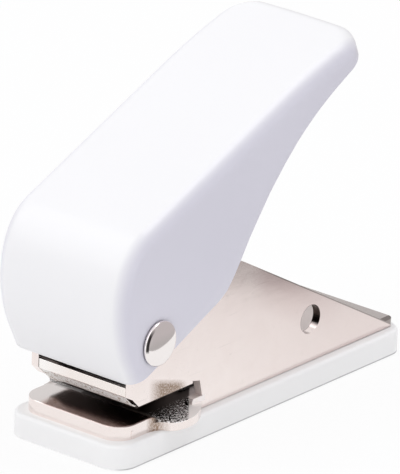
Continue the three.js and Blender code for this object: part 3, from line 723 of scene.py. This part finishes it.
def make_world():
    world = bpy.data.worlds.new("studio")
    world.use_nodes = True
    bpy.context.scene.world = world
    studio = Graph(world.node_tree)
    soft = studio.node("Background", {}, {"Color": STUDIO_WHITE, "Strength": STUDIO_POWER})
    white = studio.node("Background", {}, {"Color": PURE_WHITE, "Strength": 1.0})
    mixed = studio.node("MixShader", {}, {0: studio.seen_directly(), 1: soft, 2: white})
    studio.node("OutputWorld", {}, {"Surface": mixed})


def make_lamp(name, place, aim, size, power):
    data = bpy.data.lights.new(name, "AREA")
    data.shape = "DISK"
    data.size = size
    data.energy = power
    lamp = add_object(name, data)
    lamp.location = place
    lamp.rotation_mode = "QUATERNION"
    lamp.rotation_quaternion = (Vector(aim) - Vector(place)).to_track_quat("-Z", "Y")


# Mesh helpers

MERGE = 0.002 * MM
SHARP = math.radians(28)
FLAT = math.radians(0.3)


class Surface:
    """Points and faces that are gathered and then made one smooth piece."""

    def __init__(self):
        self.points = []
        self.faces = []

    def add(self, point):
        self.points.append(point)
        return len(self.points) - 1

    def join(self, lines):
        """Joins each line of point numbers to the next with four-sided faces."""
        for one, two in zip(lines, lines[1:]):
            for left, right, far_left, far_right in zip(one, one[1:], two, two[1:]):
                self.faces.append((left, right, far_right, far_left))

    def piece(self, name, material):
        mesh = bpy.data.meshes.new(name)
        mesh.from_pydata([Vector(point) * MM for point in self.points], [], self.faces)
        smooth_mesh(mesh, turn_outwards)
        mesh.materials.append(material)
        return add_object(name, mesh)


def turn_outwards(shape):
    bmesh.ops.recalc_face_normals(shape, faces=shape.faces)


def join_flat_faces(shape):
    bmesh.ops.dissolve_limit(shape, angle_limit=FLAT, verts=shape.verts, edges=shape.edges)


def smooth_mesh(mesh, mend):
    """Merges doubles, mends the faces, and shades all but the sharp edges smooth."""
    shape = bmesh.new()
    shape.from_mesh(mesh)
    bmesh.ops.remove_doubles(shape, verts=shape.verts, dist=MERGE)
    mend(shape)
    for face in shape.faces:
        face.smooth = True
    for edge in shape.edges:
        edge.smooth = edge.calc_face_angle(0) < SHARP
    shape.to_mesh(mesh)
    shape.free()


def soften(piece, name, width, steps, sharp):
    """Rounds the edges that are sharper than an angle."""
    bevel = piece.modifiers.new(name, "BEVEL")
    bevel.width = width
    bevel.segments = steps
    bevel.limit_method = "ANGLE"
    bevel.angle_limit = sharp


def quarter_turn(steps, first=1):
    return [math.pi / 2 * step / steps for step in range(first, steps + 1)]


def settle(piece, body, node):
    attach(piece, body)
    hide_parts(node)


# The lever's shell, drawn about its pivot: u runs to the rear, w away from the frame

HALF_LEVER = 18.6
LEVER_SHEET = 1.2
EDGE_RUN = 4
NOSE_FRONT = -10.1
NOSE_DROP = 5.6
NOSE_RUN, NOSE_RISE = 17.1, 23.7
NOSE_LEAN, NOSE_OUT = 0.07, 0.998
LEVER_TOP = 25.75
REAR = 84.9
REAR_CORNER = 7.8
REAR_EDGE_DROP = 2.3
DROOP_START, DROOP = 58, 2.2
CROWN_DROP = 0.6
LOWER_EDGE = [
    (-5.6, -5.32), (2, -5.1), (12, -4.7), (20.6, -4.4), (23.4, -3.9), (26.6, -2.2), (30.1, 0.1),
    (34.5, 3.2), (39.1, 6), (44.1, 8.9), (50.5, 11.9), (56, 14.1), (60, 15.3), (65, 16.5), (70, 17.3),
    (76, 17.9), (80, 18.2), (REAR, 18.4),
]
NOSE_FOOT_ROWS, NOSE_ROWS, TOP_ROWS, CORNER_ROWS = 4, 22, 22, 9
ACROSS, EDGE_STEPS, FLANGE_STEPS = 20, 8, 8
NEAR, FAR = 1, -1
ENDS = {NEAR: -1, FAR: 0}

# Lines down the flanges rake to the rear, most at the nose, and stand straight further on

RAKE, RAKE_START, RAKE_END = 28, 7, 60
NOSE_FAN = 1.3

RIM_WIDTH, RIM_STEPS = 0.3 * MM, 3
RIM_SHARP = math.radians(50)


def to_part(x, u, w):
    y = PIVOT_Y + u * math.cos(LEVER_TURN) - w * math.sin(LEVER_TURN)
    z = PIVOT_Z + u * math.sin(LEVER_TURN) + w * math.cos(LEVER_TURN)
    return (x, y, z)


def from_part(point):
    x, y, z = point
    y, z = y - PIVOT_Y, z - PIVOT_Z
    u = y * math.cos(LEVER_TURN) + z * math.sin(LEVER_TURN)
    w = z * math.cos(LEVER_TURN) - y * math.sin(LEVER_TURN)
    return x, u, w


def smooth_step(value):
    value = min(max(value, 0), 1)
    return value * value * (3 - 2 * value)


def lower_edge(u):
    for (u0, w0), (u1, w1) in zip(LOWER_EDGE, LOWER_EDGE[1:]):
        if u <= u1:
            return w0 + (w1 - w0) * (u - u0) / (u1 - u0)
    return LOWER_EDGE[-1][1]


def top_height(x, u):
    ramp = max(0, (u - DROOP_START) / (REAR - DROOP_START))
    return LEVER_TOP - DROOP * ramp ** 2 - CROWN_DROP * ramp * (x / HALF_LEVER) ** 2


def spread(half):
    """Places across the lever, from the far side to the near one."""
    return [-half + 2 * half * step / ACROSS for step in range(ACROSS + 1)]


def side_rows():
    """Rows up the nose and along the top, to the rear corners: their u and w, and which way is outwards."""
    centre_u, centre_w = NOSE_FRONT + NOSE_RUN, LEVER_TOP - NOSE_RISE
    rows = []
    for step in range(NOSE_FOOT_ROWS):
        w = (centre_w + NOSE_DROP) * step / NOSE_FOOT_ROWS - NOSE_DROP
        rows.append((NOSE_FRONT + NOSE_LEAN * (centre_w - w), w, -NOSE_OUT, -NOSE_LEAN))
    for angle in quarter_turn(NOSE_ROWS, first=0):
        u = centre_u - NOSE_RUN * math.cos(angle)
        w = centre_w + NOSE_RISE * math.sin(angle)
        normal = Vector((-math.cos(angle) / NOSE_RUN, math.sin(angle) / NOSE_RISE)).normalized()
        rows.append((u, w, normal.x, normal.y))
    for step in range(1, TOP_ROWS + 1):
        u = centre_u + (REAR - REAR_CORNER - centre_u) * step / TOP_ROWS
        rows.append((u, top_height(0, u), 0, 1))
    return rows


def side_roll(skin, first, side, u, w, normal_u, normal_w):
    """The rounded edge between the top and a flange, from one end of a row across the top."""
    roll = [first]
    for angle in quarter_turn(EDGE_STEPS):
        x = side * (HALF_LEVER - EDGE_RUN + EDGE_RUN * math.sin(angle))
        drop = EDGE_RUN * (1 - math.cos(angle))
        roll.append(skin.add(to_part(x, u - normal_u * drop, w - normal_w * drop)))
    return roll


def rear_roll(skin, first, x, u, side, turn):
    """The rounded top edge at one place of the rear end, where the edge falls less than at the flanges."""
    fall = EDGE_RUN + (REAR_EDGE_DROP - EDGE_RUN) * math.sin(turn) ** 2
    roll = [first]
    for angle in quarter_turn(EDGE_STEPS):
        out = EDGE_RUN * math.sin(angle)
        drop = fall * (1 - math.cos(angle))
        edge_x, edge_u = x + side * out * math.cos(turn), u + out * math.sin(turn)
        roll.append(skin.add(to_part(edge_x, edge_u, top_height(x, u) - drop)))
    return roll


def flange_line(skin, first, row):
    """Points from the end of a rounded edge down to the lower edge."""
    x, u, w = from_part(skin.points[first])
    nose_share = row / (NOSE_FOOT_ROWS + NOSE_ROWS)
    if nose_share < 1:
        low_u = u + (RAKE_START + RAKE - u) * nose_share ** NOSE_FAN
    else:
        low_u = u + RAKE * (1 - smooth_step((u - RAKE_START) / (RAKE_END - RAKE_START)))
    low_w = lower_edge(low_u)
    line = [first]
    for step in range(1, FLANGE_STEPS + 1):
        share = step / FLANGE_STEPS
        line.append(skin.add(to_part(x, u + (low_u - u) * share, w + (low_w - w) * share)))
    return line


def nose_and_top(skin, lines, rolls):
    """Lines across the nose and the top, and the rolls at their ends."""
    for u, w, normal_u, normal_w in side_rows():
        places = spread(HALF_LEVER - EDGE_RUN)
        sag = [top_height(x, u) - top_height(0, u) if normal_w == 1 else 0 for x in places]
        lines.append([skin.add(to_part(x, u, w + low)) for x, low in zip(places, sag)])
        for side, end in ENDS.items():
            rolls[side].append(side_roll(skin, lines[-1][end], side, u, w + sag[end], normal_u, normal_w))


def rear_corners(skin, lines, rolls):
    """Lines across the top between the two rounded rear corners, and the rolls at their ends."""
    inner = REAR_CORNER - EDGE_RUN
    for turn in quarter_turn(CORNER_ROWS):
        u = REAR - REAR_CORNER + inner * math.sin(turn)
        half = HALF_LEVER - REAR_CORNER + inner * math.cos(turn)
        lines.append([skin.add(to_part(x, u, top_height(x, u))) for x in spread(half)])
        for side, end in ENDS.items():
            rolls[side].append(rear_roll(skin, lines[-1][end], side * half, u, side, turn))


def rear_end(skin, last_line):
    """The rolls between the two rear corners, from the near one to the far one."""
    starts = list(zip(last_line, spread(HALF_LEVER - REAR_CORNER)))[1:-1]
    return [rear_roll(skin, first, x, REAR - EDGE_RUN, NEAR, math.pi / 2) for first, x in reversed(starts)]


def lever_skin():
    """The outer skin: the nose and the top, the rounded edges around them and the walls below those."""
    skin = Surface()
    lines = []
    rolls = {NEAR: [], FAR: []}
    nose_and_top(skin, lines, rolls)
    rear_corners(skin, lines, rolls)
    rear = [rolls[NEAR][-1], *rear_end(skin, lines[-1]), rolls[FAR][-1]]
    skin.join(lines)
    for edge in (rolls[NEAR], rolls[FAR], rear):
        skin.join(edge)
    walls = [[flange_line(skin, roll[-1], row) for row, roll in enumerate(rolls[side])] for side in ENDS]
    walls.append([flange_line(skin, roll[-1], NOSE_FOOT_ROWS + NOSE_ROWS) for roll in rear])
    for wall in walls:
        skin.join(wall)
    return skin


def make_lever(finishes):
    shell = lever_skin().piece("lever_shell", finishes["white_paint"])
    sheet = shell.modifiers.new("sheet", "SOLIDIFY")
    sheet.thickness = LEVER_SHEET * MM
    sheet.offset = -1
    sheet.use_even_offset = True
    soften(shell, "rim", RIM_WIDTH, RIM_STEPS, RIM_SHARP)
    settle(shell, "lever", "lever")


# The pivot pin and its cap, turned about the pivot's line

HEAD_SEAT = HALF_LEVER + 0.1
HEAD_RADIUS, HEAD_HEIGHT, HEAD_RIM, RIM_ROUND = 5.2, 1.9, 0.45, 0.15
PIN_RADIUS, PIN_END = 2.5, 19.7
SOCKET_RADIUS, SOCKET_END = 2.55, 19.8
TURNED_SIDES, DOME_STEPS = 96, 24


def dome_profile():
    """From the seat's rim up over the dome: distance along the pivot's line and radius."""
    dome = HEAD_HEIGHT - HEAD_RIM
    return [(HEAD_SEAT, HEAD_RADIUS - RIM_ROUND), (HEAD_SEAT + RIM_ROUND, HEAD_RADIUS)] + [
        (HEAD_SEAT + HEAD_RIM + dome * math.sin(angle), HEAD_RADIUS * math.cos(angle))
        for angle in quarter_turn(DOME_STEPS, first=0)
    ]


def turned(name, profile, side, material):
    skin = Surface()
    rings = []
    for along, radius in profile:
        ring = []
        for step in range(TURNED_SIDES):
            angle = 2 * math.pi * step / TURNED_SIDES
            y, z = PIVOT_Y + radius * math.cos(angle), PIVOT_Z + radius * math.sin(angle)
            ring.append(skin.add((side * along, y, z)))
        rings.append(ring + ring[:1])
    skin.join(rings)
    return skin.piece(name, material)


def make_pivot(finishes):
    polish = finishes["polished_rivet"]
    shank = [(-PIN_END, 0), (-PIN_END, PIN_RADIUS - RIM_ROUND), (RIM_ROUND - PIN_END, PIN_RADIUS)]
    pin = turned("pivot_pin_turned", [*shank, (HEAD_SEAT, PIN_RADIUS), *dome_profile()], NEAR, polish)
    settle(pin, "lever", "pivot_pin")
    socket = [(SOCKET_END, 0), (SOCKET_END, SOCKET_RADIUS), (HEAD_SEAT, SOCKET_RADIUS)]
    cap = turned("pivot_cap_turned", [*socket, *dome_profile()], FAR, polish)
    settle(cap, "lever", "pivot_cap")


# The return spring, a coiled wire whose ends run straight for one wire diameter

SPRING_Y = -30
SPRING_SIZES = {"Turns": 4.5, "Radius": 4.3, "Bottom": 14.72, "Top": 23.03, "Wire": 0.8}
SPRING_STEPS, WIRE_SIDES = 260, 16


def spring_tree(material):
    tree = bpy.data.node_groups.new("coiled_wire", "GeometryNodeTree")
    for name in SPRING_SIZES:
        tree.interface.new_socket(name, in_out="INPUT", socket_type="NodeSocketFloat")
    tree.interface.new_socket("Geometry", in_out="OUTPUT", socket_type="NodeSocketGeometry")
    graph = Graph(tree)
    turns, radius, bottom, top, wire = (graph.node("NodeGroupInput", output=name) for name in SPRING_SIZES)
    total = turns * (2 * math.pi)
    lead = wire / radius
    angle = graph.node("GeometryNodeInputIndex") * (total + lead * 2) * (1 / (SPRING_STEPS - 1)) - lead
    coiled = angle.smaller(total).larger(0)
    beyond = (angle - coiled) * radius
    cosine, sine = coiled.maths("COSINE"), coiled.maths("SINE")
    place = graph.node("CombineXYZ", {}, {
        "X": cosine * radius - sine * beyond,
        "Y": sine * radius + cosine * beyond,
        "Z": bottom + (top - bottom) * (coiled / total),
    })
    line = graph.node("GeometryNodeCurvePrimitiveLine")
    path = graph.node("GeometryNodeResampleCurve", {}, {"Curve": line, "Count": SPRING_STEPS})
    coil = graph.node("GeometryNodeSetPosition", {}, {"Geometry": path, "Position": place})
    section = graph.node("GeometryNodeCurvePrimitiveCircle", {}, {
        "Resolution": WIRE_SIDES,
        "Radius": wire * 0.5,
    })
    drawn = graph.node("GeometryNodeCurveToMesh", {}, {
        "Curve": coil,
        "Profile Curve": section,
        "Fill Caps": True,
    })
    solid = graph.node("GeometryNodeRealizeInstances", {}, {"Geometry": drawn})
    made = graph.node("GeometryNodeSetMaterial", {}, {"Geometry": solid, "Material": material})
    graph.node("NodeGroupOutput", {}, {"Geometry": made})
    return tree


def make_spring(finishes):
    spring = add_object("return_spring_wire", bpy.data.meshes.new("return_spring_wire"))
    coil = spring.modifiers.new("coil", "NODES")
    coil.node_group = spring_tree(finishes["spring_steel"])
    for item in coil.node_group.interface.items_tree:
        if item.in_out == "INPUT":
            coil[item.identifier] = float(SPRING_SIZES[item.name])
    mesh = bpy.data.meshes.new_from_object(spring.evaluated_get(bpy.context.evaluated_depsgraph_get()))
    spring.modifiers.clear()
    spring.data = mesh
    mesh.transform(Matrix.Translation((0, SPRING_Y * MM, 0)) @ Matrix.Scale(MM, 4))
    smooth_mesh(mesh, turn_outwards)
    settle(spring, "punch", "return_spring")
    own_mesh(spring)


# The pieces that keep the frame's own shape, with finer normals and softened edges

REDRAWN = ("lever", "pivot_pin", "pivot_cap", "return_spring")
EDGE_WIDTH, BEVEL_STEPS = 0.12 * MM, 2


def softened_copy(node, material):
    mesh = frame["nodes"][node].data.copy()
    smooth_mesh(mesh, join_flat_faces)
    mesh.materials.clear()
    mesh.materials.append(material)
    piece = add_object(node + "_shown", mesh)
    soften(piece, "edges", EDGE_WIDTH, BEVEL_STEPS, SHARP)
    normals = piece.modifiers.new("normals", "WEIGHTED_NORMAL")
    normals.keep_sharp = True
    return piece


def make_other_pieces(finishes):
    record = frame["record"]
    slots = {part["node"]: part["material_slot"] for part in record["subparts"]}
    bodies = {node: body for body, nodes in record["behaviour"]["bodies"].items() for node in nodes}
    for node in frame["nodes"]:
        if node not in REDRAWN:
            finish = "nickel_guide" if node == "guide_plate" else slots[node]
            settle(softened_copy(node, finishes[finish]), bodies[node], node)


def main():
    make_camera()
    make_floor()
    make_card()
    make_world()
    for name, settings in LAMPS.items():
        make_lamp(name, **settings)
    finishes = make_finishes()
    make_lever(finishes)
    make_pivot(finishes)
    make_spring(finishes)
    make_other_pieces(finishes)
    bpy.context.scene.view_settings.view_transform = "Standard"


main()
